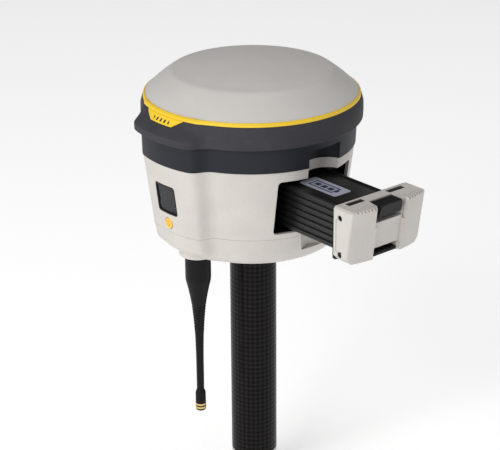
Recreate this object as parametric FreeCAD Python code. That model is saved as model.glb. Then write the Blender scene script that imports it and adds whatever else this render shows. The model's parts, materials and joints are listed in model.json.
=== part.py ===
import FreeCAD, Part
import math
import os

from FreeCAD import Vector

# A pole-mounted satellite positioning receiver: a round head with a lobed front, a rubber
# bumper, a dome over the antenna and a battery drawer, on the top section of its pole.
# Millimetres, +Z up. The origin is the mouth of the threaded socket at the pole's lower end.
# +X is the way the battery drawer pulls out, -Y is the front lobe with the display.
# Head parts are drawn from the head's own underside (z = 0) and lifted by HEAD_BASE when saved.
# Drawer parts are drawn pushed in and moved out by DRAWER_OUT when saved.

# ---- driving dimensions -------------------------------------------------------------------
HEAD_BASE = 182.0          # underside of the head above the pole's threaded socket
DRAWER_OUT = 62.0          # how far the drawer stands pulled out at rest
GAP = 0.3                  # free gap between parts that move past each other
FIT = 0.06                 # radial play of running and threaded fits

# pole
POLE_R = 15.3
POLE_BORE_R = 13.0
FERRULE_H = 24.0
THREAD_R = 7.94            # 5/8 inch survey thread, drawn at its nominal radius
THREAD_DEPTH = 16.0
SPIGOT_LEN = 20.0
FLANGE_H = 4.0
WASHER_H = 0.8
STUD_LEN = 14.0

# head, heights above its underside
BASE_TOP = 19.3            # parting line between base cover and lower housing
HOUSING_TOP = 65.5
BAND_TOP = 81.6
BUMPER_TOP = 96.1
RING_TOP = 98.6
DOME_TOP = 118.9
WALL = 2.4
PARTING_R = 59.5
HOUSING_R = 65.4
BAND_R0 = 65.9
BAND_R1 = 66.6
BUMPER_R = 70.5
RING_R = 68.8
RADOME_R = 67.4

# front lobe, followed by every shell from the base to the bumper
LOBE_OUT = 8.0             # how far the lobe stands out of the round
LOBE_HALF = 15.5           # half angle of its outer arc
LOBE_END = 30.5            # half angle where its shoulders meet the round

# battery drawer, closed position
BATT_HALF = 19.0
BATT_Z0 = 25.2
BATT_Z1 = 54.8
BATT_X0 = -34.5
CAP_X0 = 43.5
CAP_Y = 2.2                # the cap and its latches stand this far off the battery's middle
CAP_HALF = 30.2
CAP_Z0 = 23.3
CAP_Z1 = 58.3
CAP_FRONT = 64.4           # middle of the cap's front face, at its top
CAP_CORNER = 60.4          # the same at its side edges
CAP_LEAN = 5.2             # how far the front face falls back from top to bottom
GASKET_T = 1.4
RECESS_FRONT = 11.2        # half width of the latch recess at the front face
RECESS_BACK = 9.6
PLATE_Z0 = 29.6            # plate between the two latches
PLATE_Z1 = 46.8

# whip antenna
WHIP_Y = -46.0
WHIP_BOSS_R = 12.0
WHIP_BOSS_H = 1.6
WHIP_BOSS_TOP = 6.0        # the boss runs up inside the base to carry the connector
WHIP_LEN = 112.2
RIB_PITCH = 2.0

SCREW_R = 1.25


# ---- small helpers ------------------------------------------------------------------------
def box(x0, x1, y0, y1, z0, z1):
    return Part.makeBox(x1 - x0, y1 - y0, z1 - z0, Vector(x0, y0, z0))


def disc(radius, z0, z1, x=0.0, y=0.0):
    return Part.makeCylinder(radius, z1 - z0, Vector(x, y, z0))


def tube(outer, inner, z0, z1, x=0.0, y=0.0):
    return disc(outer, z0, z1, x, y).cut(disc(inner, z0 - 1, z1 + 1, x, y))


def rod(radius, start, end):
    """A straight cylinder between two points."""
    run = Vector(*end) - Vector(*start)
    return Part.makeCylinder(radius, run.Length, Vector(*start), run)


def revolve(outline):
    """A closed (radius, z) outline turned about the Z axis."""
    points = [Vector(r, 0, z) for r, z in outline]
    face = Part.Face(Part.makePolygon(points + points[:1]))
    return face.revolve(Vector(0, 0, 0), Vector(0, 0, 1), 360)


def round_edges(shape, radius, direction, pick=None):
    """Fillets the straight edges that run along a direction."""
    edges = []
    for edge in shape.Edges:
        if len(edge.Vertexes) != 2 or not isinstance(edge.Curve, Part.Line):
            continue
        along = edge.Curve.Direction
        if abs(abs(along.dot(Vector(*direction))) - 1) > 0.001:
            continue
        if pick is None or pick(edge.CenterOfMass):
            edges.append(edge)
    return shape.makeFillet(radius, edges)


def polar(radius, angle):
    """A point at an angle measured from the front (-Y) towards +X."""
    a = math.radians(angle)
    return (radius * math.sin(a), -radius * math.cos(a))


def save(name, shape, lift=0.0, out=0.0, aside=0.0):
    shape = shape.copy()
    shape.translate(Vector(out, aside, lift))
    solids = shape.Solids
    if not solids or not all(solid.isValid() for solid in solids):
        raise ValueError("bad solid in " + name)
    result = solids[0] if len(solids) == 1 else Part.makeCompound(solids)
    result.exportStep("parts/" + name + ".step")
    print(name, len(solids), round(result.Volume, 1))


# ---- lobed outlines -----------------------------------------------------------------------
def lobed_wire(radius, lobe, z):
    """The head's plan outline: a round, a front arc that stands out, and two S shoulders."""
    def at(r, angle):
        x, y = polar(r, angle)
        return Vector(x, y, z)

    def along(angle, sign):
        a = math.radians(angle)
        return Vector(math.cos(a), math.sin(a), 0) * sign

    outer = radius + lobe
    back = Part.Arc(at(radius, LOBE_END), at(radius, 180), at(radius, -LOBE_END)).toShape()
    front = Part.Arc(at(outer, -LOBE_HALF), at(outer, 0), at(outer, LOBE_HALF)).toShape()
    reach = radius * math.radians(LOBE_END - LOBE_HALF) * 0.62
    shoulders = []
    for side in (-1, 1):
        curve = Part.BezierCurve()
        start = at(radius, side * LOBE_END)
        end = at(outer, side * LOBE_HALF)
        curve.setPoles([start, start - along(side * LOBE_END, side) * reach,
                        end + along(side * LOBE_HALF, side) * reach, end])
        shoulders.append(curve.toShape())
    return Part.Wire(Part.__sortEdges__([back, shoulders[0], front, shoulders[1]]))


def lobed_solid(sections):
    """A solid through (z, radius, lobe) sections."""
    wires = [lobed_wire(radius, lobe, z) for z, radius, lobe in sections]
    return Part.makeLoft(wires, True, True)


def housing_r(z):
    return PARTING_R + (HOUSING_R - PARTING_R) * (z - BASE_TOP) / (HOUSING_TOP - BASE_TOP)


def lower_body(inset, z0, z1):
    """The lower housing's outer form, drawn in by a wall thickness."""
    return lobed_solid([(z0, housing_r(z0) - inset, LOBE_OUT), (z1, housing_r(z1) - inset, LOBE_OUT)])


# ---- pole ---------------------------------------------------------------------------------
def pole_parts():
    flange_z = HEAD_BASE - WASHER_H
    tube_top = flange_z - FLANGE_H
    ferrule = disc(POLE_R, 0, FERRULE_H).fuse(disc(POLE_BORE_R - FIT, FERRULE_H, FERRULE_H + SPIGOT_LEN))
    ferrule = ferrule.cut(disc(THREAD_R, -1, THREAD_DEPTH)).cut(disc(5.0, THREAD_DEPTH - 1, 60))
    groove = tube(POLE_R + 1, POLE_R - 0.6, 7.0, 9.0)
    save("pole_ferrule", ferrule.cut(groove).removeSplitter())
    save("pole_tube", tube(POLE_R, POLE_BORE_R, FERRULE_H, tube_top))
    top = disc(POLE_R, tube_top, flange_z).fuse(disc(POLE_BORE_R - FIT, tube_top - SPIGOT_LEN, tube_top))
    top = top.fuse(disc(THREAD_R - FIT, flange_z, flange_z + WASHER_H + STUD_LEN))
    save("pole_top_fitting", top.removeSplitter())
    save("pole_washer", tube(POLE_R - 0.4, THREAD_R + 0.3, flange_z, HEAD_BASE))


# ---- base cover and what is screwed into it -----------------------------------------------
INSERT_R = 10.5
INSERT_H = 17.0
BOLT_CIRCLE = 46.5
BOLT_ANGLES = (45, 135, 180, -135, -90, -45)


def thumb_scoop(extra=0.0):
    """Room under the drawer for a thumb to reach the lower latch."""
    return disc(15.0 + extra, 9.0 - extra, CAP_Z0 - 0.4, 69.5, 0.0)


# the base's outer form as (z, radius, lobe): a wide round at the bottom that takes the lobe in
BASE_SECTIONS = ((0.0, 49.5, 0.0), (0.6, 51.6, 0.6), (1.6, 53.5, 1.7), (4.2, 55.8, 4.4),
                 (9.5, 58.3, 7.3), (BASE_TOP, PARTING_R, LOBE_OUT))


def base_outer(inset):
    """The base's outer form, or its cavity when drawn in by a wall thickness."""
    sections = []
    for z, radius, lobe in BASE_SECTIONS:
        rise = z / BASE_TOP
        sections.append((z + inset * (1 - rise), radius - inset * (0.6 + 0.4 * rise), lobe))
    if inset:
        sections.append((BASE_TOP + 1, PARTING_R - inset, LOBE_OUT))
    return lobed_solid(sections)


def base_cover():
    outer = base_outer(0.0)
    inner = base_outer(WALL)
    cover = outer.cut(inner)
    scoop_wall = thumb_scoop(WALL * 0.75).common(outer)
    cover = cover.fuse(scoop_wall.cut(box(-90, 90, -90, 90, BASE_TOP, 40)))
    boss = disc(WHIP_BOSS_R, -WHIP_BOSS_H, WHIP_BOSS_TOP, 0, WHIP_Y)
    lip = [edge for edge in boss.Edges if edge.CenterOfMass.z < -WHIP_BOSS_H + 0.1 and edge.Length > 20]
    cover = cover.fuse(boss.makeFillet(1.2, lip))
    cover = cover.fuse(disc(INSERT_R + 3, 0, INSERT_H))
    posts = [disc(3.4, 0.5, BASE_TOP - 4, *polar(BOLT_CIRCLE, a)) for a in BOLT_ANGLES]
    cover = cover.fuse(posts)
    cover = cover.cut(thumb_scoop())
    cover = cover.cut(disc(INSERT_R, -1, INSERT_H + 1))
    cover = cover.cut(disc(7.2, -20, 20, 0, WHIP_Y))
    for angle in BOLT_ANGLES:
        x, y = polar(BOLT_CIRCLE, angle)
        cover = cover.cut(disc(1.6, -1, 30, x, y)).cut(disc(2.9, -1, 2.4, x, y))
    cover = cover.cut(disc(2.6, -1, 10, *polar(31.0, -120)))
    return cover.removeSplitter()


def base_fittings():
    save("base_cover", base_cover(), HEAD_BASE)
    insert = tube(INSERT_R, THREAD_R, 0.0, INSERT_H)
    for angle in range(0, 360, 45):
        x, y = polar(INSERT_R, angle)
        insert = insert.cut(disc(0.8, 2.0, INSERT_H - 2, x, y))
    save("thread_insert", insert, HEAD_BASE)
    screws = []
    for angle in BOLT_ANGLES:
        x, y = polar(BOLT_CIRCLE, angle)
        screw = disc(2.7, 0.3, 2.4, x, y).fuse(disc(1.2, 2.4, 22.0, x, y))
        screws.append(screw.cut(disc(1.3, 0.0, 1.6, x, y)))
    save("base_screws", Part.makeCompound(screws), HEAD_BASE)
    x, y = polar(31.0, -120)
    vent = disc(2.55, 0.4, 4.5, x, y).fuse(disc(3.6, 2.45, 4.0, x, y))
    for angle in range(0, 360, 90):
        vx, vy = polar(1.4, angle)
        vent = vent.cut(disc(0.35, 0.0, 1.4, x + vx, y + vy))
    save("vent_plug", vent.removeSplitter(), HEAD_BASE)


# ---- lower housing ------------------------------------------------------------------------
OPEN_HALF = CAP_HALF + GAP
OPEN_Z0 = CAP_Z0 - 0.5
OPEN_Z1 = CAP_Z1 + 0.5
SCOOP_R = 13.4
SCOOP_X = 67.2
SCOOP_Y = 3.4
SCOOP_Z1 = 76.6
WINDOW_HALF = 9.6
WINDOW_Z0 = 31.9
WINDOW_Z1 = 51.9
BUTTON_Z = 25.4
BUTTON_R = 3.5
PANEL_Y = -63.4             # back of the display panel
PORT_Z = 36.0
PORT_HALF = 9.0
PORT_H = 5.0


def drawer_cut(grow=0.0):
    cut = box(30, 90, CAP_Y - OPEN_HALF - grow, CAP_Y + OPEN_HALF + grow, OPEN_Z0 - grow, OPEN_Z1 + grow)
    return round_edges(cut, 2.4 + grow, (1, 0, 0))


def finger_scoop(extra=0.0):
    """Upright round notch above the drawer, where a finger presses the upper latch."""
    return disc(SCOOP_R + extra, OPEN_Z1 - 2, SCOOP_Z1 + extra, SCOOP_X, SCOOP_Y)


def front_cut(half, z0, z1, depth0, depth1, rounding):
    """A rounded block that reaches in from the front lobe."""
    block = box(-half, half, -depth1, -depth0, z0, z1)
    return round_edges(block, rounding, (0, 1, 0))


def lower_housing():
    outer = lower_body(0.0, BASE_TOP + 0.15, HOUSING_TOP - 0.15)
    inner = lower_body(WALL, BASE_TOP - 2, HOUSING_TOP + 2)
    shell = outer.cut(inner)
    inside = lower_body(0.4, BASE_TOP + 0.2, HOUSING_TOP - 0.2)
    shell = shell.fuse(finger_scoop(1.8).common(inside))
    shell = shell.fuse(thumb_scoop(1.8).common(inside))
    tongue = lobed_solid([(BASE_TOP - 3, PARTING_R - WALL - 0.65, LOBE_OUT),
                          (BASE_TOP + 2, PARTING_R - WALL - 0.65, LOBE_OUT)])
    tongue = tongue.cut(lobed_solid([(BASE_TOP - 4, PARTING_R - WALL - 2.1, LOBE_OUT),
                                     (BASE_TOP + 3, PARTING_R - WALL - 2.1, LOBE_OUT)]))
    tongue = tongue.cut(box(40, 90, -20, 20, 0, 40))
    bosses = []
    for angle in BOLT_ANGLES:
        x, y = polar(BOLT_CIRCLE, angle)
        boss = disc(3.4, BASE_TOP - 3.9, BASE_TOP + 10, x, y)
        arm = box(x - 1.2, x + 1.2, y, y + 17, BASE_TOP + 1, BASE_TOP + 10)
        arm.rotate(Vector(x, y, 0), Vector(0, 0, 1), angle + 180)
        bosses.append(boss.fuse(arm.common(lower_body(1.0, BASE_TOP, HOUSING_TOP))))
    shell = shell.fuse([tongue] + bosses)
    shell = shell.cut(drawer_cut()).cut(finger_scoop()).cut(thumb_scoop())
    for angle in BOLT_ANGLES:
        shell = shell.cut(disc(SCREW_R, 0, 28, *polar(BOLT_CIRCLE, angle)))
    shell = shell.cut(front_cut(WINDOW_HALF, WINDOW_Z0, WINDOW_Z1, 60, 90, 2.2))
    shell = shell.cut(rod(BUTTON_R + 0.35, (0, -90, BUTTON_Z), (0, -60, BUTTON_Z)))
    port = box(-90, -50, -PORT_HALF, PORT_HALF, PORT_Z - PORT_H, PORT_Z + PORT_H)
    shell = shell.cut(round_edges(port, 3.0, (1, 0, 0)))
    return shell.removeSplitter()


# ---- display, button and port -------------------------------------------------------------
def lobe_face(inset, thick):
    """A slab that follows the lobe's outer face, inset from it."""
    z0, z1 = BASE_TOP + 0.5, HOUSING_TOP - 1
    return lower_body(inset, z0, z1).cut(lower_body(inset + thick, z0 - 1, z1 + 1))


def display_parts():
    frame = front_cut(WINDOW_HALF - 0.1, WINDOW_Z0 + 0.1, WINDOW_Z1 - 0.1, 60, 90, 2.1)
    hole = front_cut(WINDOW_HALF - 1.1, WINDOW_Z0 + 1.1, WINDOW_Z1 - 1.1, 50, 95, 1.4)
    bezel = lobe_face(0.1, 2.6).common(frame).cut(hole)
    save("window_bezel", bezel, HEAD_BASE)
    pane = front_cut(WINDOW_HALF - 1.15, WINDOW_Z0 + 1.15, WINDOW_Z1 - 1.15, 60, 90, 1.35)
    save("display_window", lobe_face(0.8, 1.2).common(pane), HEAD_BASE)
    panel = box(-8.8, 8.8, PANEL_Y - 1.5, PANEL_Y, WINDOW_Z0 + 0.5, WINDOW_Z1 - 2)
    save("display_panel", panel, HEAD_BASE)
    board = box(-13, 13, PANEL_Y + 0.1, PANEL_Y + 1.7, BUTTON_Z - 3.4, WINDOW_Z1 + 4)
    save("display_board", board, HEAD_BASE)
    led_z = WINDOW_Z1 - 1.7
    leds = []
    for x in (-7.5, -2.5, 2.5, 7.5):
        leds.append(box(x - 1, x + 1, PANEL_Y - 0.8, PANEL_Y + 0.05, led_z, led_z + 1.4))
    save("status_leds", Part.makeCompound(leds), HEAD_BASE)
    switch = box(-3, 3, PANEL_Y - 1.6, PANEL_Y + 0.05, BUTTON_Z - 3, BUTTON_Z + 3)
    save("button_switch", switch, HEAD_BASE)
    face = -(housing_r(BUTTON_Z) + LOBE_OUT + 0.4)
    cap = rod(BUTTON_R, (0, face, BUTTON_Z), (0, face + 2.1, BUTTON_Z))
    cap = cap.makeFillet(0.5, [edge for edge in cap.Edges if edge.CenterOfMass.y < face + 0.1])
    neck = rod(1.4, (0, face + 2.0, BUTTON_Z), (0, PANEL_Y - 2.2, BUTTON_Z))
    save("power_button", cap.fuse(neck).removeSplitter(), HEAD_BASE)


def port_parts():
    inner_x = -(housing_r(PORT_Z) - WALL)
    block = box(inner_x - 1.0, inner_x + 9, -7.0, 7.0, PORT_Z - 3.6, PORT_Z + 3.6)
    socket = box(inner_x - 2.0, inner_x + 6, -4.6, 4.6, PORT_Z - 1.7, PORT_Z + 1.7)
    socket = round_edges(socket, 1.6, (1, 0, 0))
    save("data_port", round_edges(block, 2.0, (1, 0, 0)).cut(socket), HEAD_BASE)
    outer = box(-90, -50, -PORT_HALF + GAP, PORT_HALF - GAP, PORT_Z - PORT_H + GAP, PORT_Z + PORT_H - GAP)
    plug = round_edges(outer, 2.7, (1, 0, 0)).common(lower_body(0.1, BASE_TOP + 1, HOUSING_TOP - 1))
    plug = plug.cut(box(inner_x - 1.0 - GAP, 0, -20, 20, 0, 80))
    tongue = box(inner_x - 1.5, inner_x + 4.5, -4.2, 4.2, PORT_Z - 1.35, PORT_Z + 1.35)
    tab = box(inner_x - WALL - 1.4, inner_x - WALL + 1.0, -4, 4, PORT_Z + 2.4, PORT_Z + 4.2)
    save("port_cap", plug.fuse(round_edges(tongue, 1.3, (1, 0, 0))).fuse(tab).removeSplitter(), HEAD_BASE)


# ---- battery bay --------------------------------------------------------------------------
BAY_SIDE = BATT_HALF + 0.5
BAY_Z0 = BATT_Z0 - 0.5
BAY_Z1 = BATT_Z1 + 0.5
BAY_X0 = BATT_X0 - 2.0
BAY_WALL = 1.5


def battery_bay():
    w = BAY_WALL
    inside = lower_body(WALL + 0.05, BASE_TOP + 0.5, HOUSING_TOP - 0.5)
    side0, side1 = CAP_Y - OPEN_HALF, CAP_Y + OPEN_HALF
    pocket = box(CAP_X0 - w, 80, side0 - w, side1 + w, OPEN_Z0 - w, OPEN_Z1 + w)
    channel = box(BAY_X0 - w, CAP_X0, -BAY_SIDE - w, BAY_SIDE + w, BAY_Z0 - w, BAY_Z1 + w)
    bay = pocket.common(inside).fuse(channel)
    room = box(CAP_X0, 90, side0, side1, OPEN_Z0, OPEN_Z1)
    bay = bay.cut(room).cut(box(BAY_X0, 90, -BAY_SIDE, BAY_SIDE, BAY_Z0, BAY_Z1))
    bay = bay.cut(finger_scoop(1.85)).cut(thumb_scoop(1.85))
    bay = bay.cut(box(BAY_X0 - 5, BAY_X0 + 1, -9, 9, 33, 47))
    return bay.removeSplitter()


def bay_parts():
    save("battery_bay", battery_bay(), HEAD_BASE)
    block = box(BAY_X0 - 4.0, BAY_X0 - 0.3, -8.8, 8.8, 33.2, 46.8)
    save("contact_block", block, HEAD_BASE)
    pins = [rod(0.7, (BAY_X0 - 0.3, y, 40.0), (BAY_X0 + 1.2, y, 40.0)) for y in (-6, -2, 2, 6)]
    save("contact_pins", Part.makeCompound(pins), HEAD_BASE)


# ---- battery and its end cap --------------------------------------------------------------
def battery_case():
    case = box(BATT_X0, CAP_X0, -BATT_HALF, BATT_HALF, BATT_Z0, BATT_Z1)
    case = round_edges(case, 1.6, (1, 0, 0))
    rib_x0, rib_x1 = BATT_X0 + 6, CAP_X0 - 5
    pitch = 4.2
    for row in range(6):
        z = BATT_Z0 + 3.4 + row * pitch
        for side in (-1, 1):
            y0 = side * BATT_HALF
            groove = box(rib_x0, rib_x1, min(y0, y0 - side * 1.1), max(y0, y0 - side * 1.1), z, z + 2.4)
            case = case.cut(groove)
    ridge = box(rib_x0, CAP_X0 - 3, 11.4, 12.2, BATT_Z1 - 0.5, BATT_Z1)
    case = case.cut(box(rib_x0, CAP_X0 + 1, 12.2, BATT_HALF - 2, BATT_Z1 - 0.9, BATT_Z1 + 1))
    case = case.fuse(ridge)
    case = case.cut(box(BATT_X0 + 1.4, CAP_X0 - 1.4, -BATT_HALF + 2.4, BATT_HALF - 2.4,
                        BATT_Z0 + 1.5, BATT_Z1 - 2.3))
    for y in (-6, -2, 2, 6):
        case = case.cut(box(BATT_X0 - 1, BATT_X0 + 2, y - 1.1, y + 1.1, 37.5, 42.5))
    return case.removeSplitter()


def cap_block():
    """The cap's solid form: flat back, bowed front that leans back towards the bottom."""
    wires = []
    for z, back in ((CAP_Z0, CAP_LEAN), (CAP_Z1, 0.0)):
        corners = [Vector(CAP_CORNER - back, -CAP_HALF, z), Vector(CAP_FRONT - back, 0, z),
                   Vector(CAP_CORNER - back, CAP_HALF, z)]
        x0 = CAP_X0 + GASKET_T
        arc = Part.Arc(*corners).toShape()
        edges = [Part.makeLine(Vector(x0, CAP_HALF, z), Vector(x0, -CAP_HALF, z)),
                 Part.makeLine(Vector(x0, -CAP_HALF, z), corners[0]), arc,
                 Part.makeLine(corners[2], Vector(x0, CAP_HALF, z))]
        wires.append(Part.Wire(edges))
    return Part.makeLoft(wires, True, True)


def wedge(points, z0, z1):
    """An upright prism over a plan outline."""
    outline = [Vector(x, y, z0) for x, y in points]
    return Part.Face(Part.makePolygon(outline + outline[:1])).extrude(Vector(0, 0, z1 - z0))


def side_prism(points, y0, y1):
    """A prism along Y over an (x, z) outline."""
    outline = [Vector(x, y0, z) for x, z in points]
    return Part.Face(Part.makePolygon(outline + outline[:1])).extrude(Vector(0, y1 - y0, 0))


def front_prism(points, x0, x1):
    """A prism along X over a (y, z) outline."""
    outline = [Vector(x0, y, z) for y, z in points]
    return Part.Face(Part.makePolygon(outline + outline[:1])).extrude(Vector(x1 - x0, 0, 0))


CAP_SCREW_X = 50.0
CAP_SCREW_Z = (28.6, 52.0)
HOOK_X = 48.6
HOOK_Y = 16.5
SHELF_Z0 = 36.6            # shelf inside the cap that the latch springs stand against
SHELF_Z1 = 38.0


def end_cap():
    cap = cap_block()
    outer_front = [edge for edge in cap.Edges if abs(edge.CenterOfMass.y) > CAP_HALF - 0.1 and
                   edge.CenterOfMass.x > CAP_CORNER - CAP_LEAN and edge.BoundBox.ZLength > 20]
    cap = cap.makeFillet(1.8, outer_front)
    top_front = [edge for edge in cap.Edges if abs(edge.CenterOfMass.z - CAP_Z1) < 0.05 and
                 edge.CenterOfMass.x > CAP_CORNER - 1.5 and edge.Length > 20]
    cap = cap.makeFillet(1.2, top_front)
    chamfer = 5.0
    for side in (-1, 1):
        corner = [(side * (CAP_HALF + 1), CAP_Z0 - 1), (side * (CAP_HALF + 1), CAP_Z0 + chamfer),
                  (side * (CAP_HALF - chamfer), CAP_Z0 - 1)]
        cap = cap.cut(front_prism(corner, CAP_X0, 80))
        shoulder = [(side * (CAP_HALF + 1), CAP_Z1 + 1), (side * (CAP_HALF + 1), CAP_Z1 - 2.2),
                    (side * (CAP_HALF - 2.2), CAP_Z1 + 1)]
        cap = cap.cut(front_prism(shoulder, CAP_X0, 80))
    upper = wedge([(52.5, -RECESS_BACK), (80, -RECESS_FRONT - 3.2), (80, RECESS_FRONT + 3.2),
                   (52.5, RECESS_BACK)], PLATE_Z1, CAP_Z1 + 2)
    lower = wedge([(52.5, -RECESS_BACK), (80, -RECESS_FRONT - 1.5), (80, RECESS_FRONT + 1.5),
                   (52.5, RECESS_BACK)], CAP_Z0 - 2, PLATE_Z0)
    cap = cap.cut(upper).cut(lower)
    lean = CAP_LEAN / (CAP_Z1 - CAP_Z0)
    face_x = CAP_FRONT - 2.6
    plate_cut = side_prism([(face_x - lean * (CAP_Z1 - CAP_Z0), CAP_Z0), (80, CAP_Z0), (80, CAP_Z1),
                            (face_x, CAP_Z1)], -RECESS_FRONT, RECESS_FRONT)
    cap = cap.cut(plate_cut)
    for side in (-1, 1):
        flank = [(54.0, side * RECESS_FRONT), (80, side * RECESS_FRONT), (80, side * (RECESS_FRONT + 4.0))]
        cap = cap.cut(wedge(flank, PLATE_Z1 - 2.0, CAP_Z1 + 2))
        slot = box(HOOK_X - 2.2, HOOK_X + 2.2, side * HOOK_Y - 6.8, side * HOOK_Y + 6.8, 48.0, CAP_Z1 + 1)
        cap = cap.cut(slot)
        for row in range(6):
            y = side * (14.2 + 2.4 * row)
            notch = side_prism([(54.2, CAP_Z1 + 0.1), (70, CAP_Z1 + 0.1), (70, CAP_Z1 - 3.2)], y, y + 0.9)
            cap = cap.cut(notch)
        strip = box(46.6, 52.6, side * CAP_HALF - 0.5, side * CAP_HALF + 0.5, CAP_Z0 + 6.6, CAP_Z1 - 7.4)
        cap = cap.cut(strip)
        for z in CAP_SCREW_Z:
            seat = rod(1.9, (CAP_SCREW_X, side * (CAP_HALF - 1.6), z), (CAP_SCREW_X, side * 40, z))
            core = rod(1.05, (CAP_SCREW_X, side * (CAP_HALF - 4.2), z), (CAP_SCREW_X, side * CAP_HALF, z))
            cap = cap.cut(seat).cut(core)
    cap = cap.cut(box(46.8, 53.6, -RECESS_BACK, RECESS_BACK, SHELF_Z1, CAP_Z1 - 2.0))
    cap = cap.cut(box(46.8, 53.6, -RECESS_BACK, RECESS_BACK, CAP_Z0 + 2.0, SHELF_Z0))
    cap = cap.cut(box(46.3, 51.2, -HOOK_Y - 7, HOOK_Y + 7, 40.5, CAP_Z1 - 2.0))
    return cap.removeSplitter()


def latch_parts():
    """Both latches slide up and down in the recesses of the cap, each on two springs."""
    face = CAP_FRONT - 1.2
    half = RECESS_BACK - 0.4
    upper = box(52.9, face, -half, half, PLATE_Z1 + 3.4, CAP_Z1 - 0.6)
    upper = round_edges(upper, 2.6, (0, 0, 1), lambda c: c.x > 56)
    lean = [(face + 1, PLATE_Z1), (face - 3.4, PLATE_Z1), (face + 1, CAP_Z1 + 3)]
    upper = upper.cut(side_prism(lean, -30, 30))
    for row in range(5):
        x = 54.2 + row * 1.6
        upper = upper.cut(box(x, x + 0.8, -half - 1, half + 1, CAP_Z1 - 1.1, CAP_Z1))
    web = box(47.3, 53.2, -6.0, 6.0, PLATE_Z1 - 2.6, CAP_Z1 - 4.9)
    upper = upper.fuse(web)
    for side in (-1, 1):
        arm = box(47.3, 49.9, min(0, side * (HOOK_Y + 6.3)), max(0, side * (HOOK_Y + 6.3)), 46.5, 49.5)
        hook = box(HOOK_X - 1.7, HOOK_X + 1.7, side * HOOK_Y - 6.3, side * HOOK_Y + 6.3, 46.5, CAP_Z1 - 0.3)
        upper = upper.fuse(arm).fuse(hook)
    save("upper_latch", upper.removeSplitter(), HEAD_BASE, DRAWER_OUT, CAP_Y)
    low_face = CAP_FRONT - CAP_LEAN - 1.6
    lower = box(52.9, low_face, -half, half, CAP_Z0 + 0.5, PLATE_Z0 - 3.2)
    lower = round_edges(lower, 1.2, (0, 1, 0), lambda c: c.x > 56)
    lower = lower.fuse(box(47.3, 53.2, -6.0, 6.0, CAP_Z0 + 2.6, PLATE_Z0 + 1.0))
    save("lower_latch", lower.removeSplitter(), HEAD_BASE, DRAWER_OUT, CAP_Y)
    for name, z0, z1 in (("lower_latch_springs", PLATE_Z0 + 1.1, SHELF_Z0 - 0.1),
                         ("upper_latch_springs", SHELF_Z1 + 0.1, PLATE_Z1 - 2.7)):
        springs = [tube(1.4, 0.9, z0, z1, 49.6, y) for y in (-3.5, 3.5)]
        save(name, Part.makeCompound(springs), HEAD_BASE, DRAWER_OUT, CAP_Y)


def drawer_parts():
    save("battery_case", battery_case(), HEAD_BASE, DRAWER_OUT)
    cells = []
    for layer in range(3):
        z = BATT_Z0 + 2.0 + layer * 7.9
        cell = box(BATT_X0 + 4, CAP_X0 - 8, -15.4, 15.4, z, z + 7.6)
        cells.append(round_edges(cell, 2.0, (1, 0, 0)))
    save("battery_cells", Part.makeCompound(cells), HEAD_BASE, DRAWER_OUT)
    label = box(CAP_X0 - 48, CAP_X0 - 15.5, -11.5, 2.5, BATT_Z1, BATT_Z1 + 0.15)
    save("battery_label", round_edges(label, 1.8, (0, 0, 1)), HEAD_BASE, DRAWER_OUT)
    strips = [box(BATT_X0 + 0.1, BATT_X0 + 0.9, y - 0.9, y + 0.9, 37.8, 42.2) for y in (-6, -2, 2, 6)]
    save("battery_contacts", Part.makeCompound(strips), HEAD_BASE, DRAWER_OUT)
    gasket = box(CAP_X0, CAP_X0 + GASKET_T, -CAP_HALF + 0.6, CAP_HALF - 0.6, CAP_Z0 + 0.4, CAP_Z1 - 0.6)
    save("cap_gasket", round_edges(gasket, 2.0, (1, 0, 0)), HEAD_BASE, DRAWER_OUT, CAP_Y)
    save("end_cap", end_cap(), HEAD_BASE, DRAWER_OUT, CAP_Y)
    latch_parts()
    screws = []
    for side in (-1, 1):
        for z in CAP_SCREW_Z:
            head = rod(1.8, (CAP_SCREW_X, side * (CAP_HALF - 1.6), z), (CAP_SCREW_X, side * (CAP_HALF - 0.7), z))
            shank = rod(1.05, (CAP_SCREW_X, side * (CAP_HALF - 3.9), z), (CAP_SCREW_X, side * (CAP_HALF - 1.5), z))
            hexagon = rod(0.7, (CAP_SCREW_X, side * (CAP_HALF - 1.3), z), (CAP_SCREW_X, side * CAP_HALF, z))
            screws.append(head.fuse(shank).cut(hexagon).removeSplitter())
    save("cap_screws", Part.makeCompound(screws), HEAD_BASE, DRAWER_OUT, CAP_Y)


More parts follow.
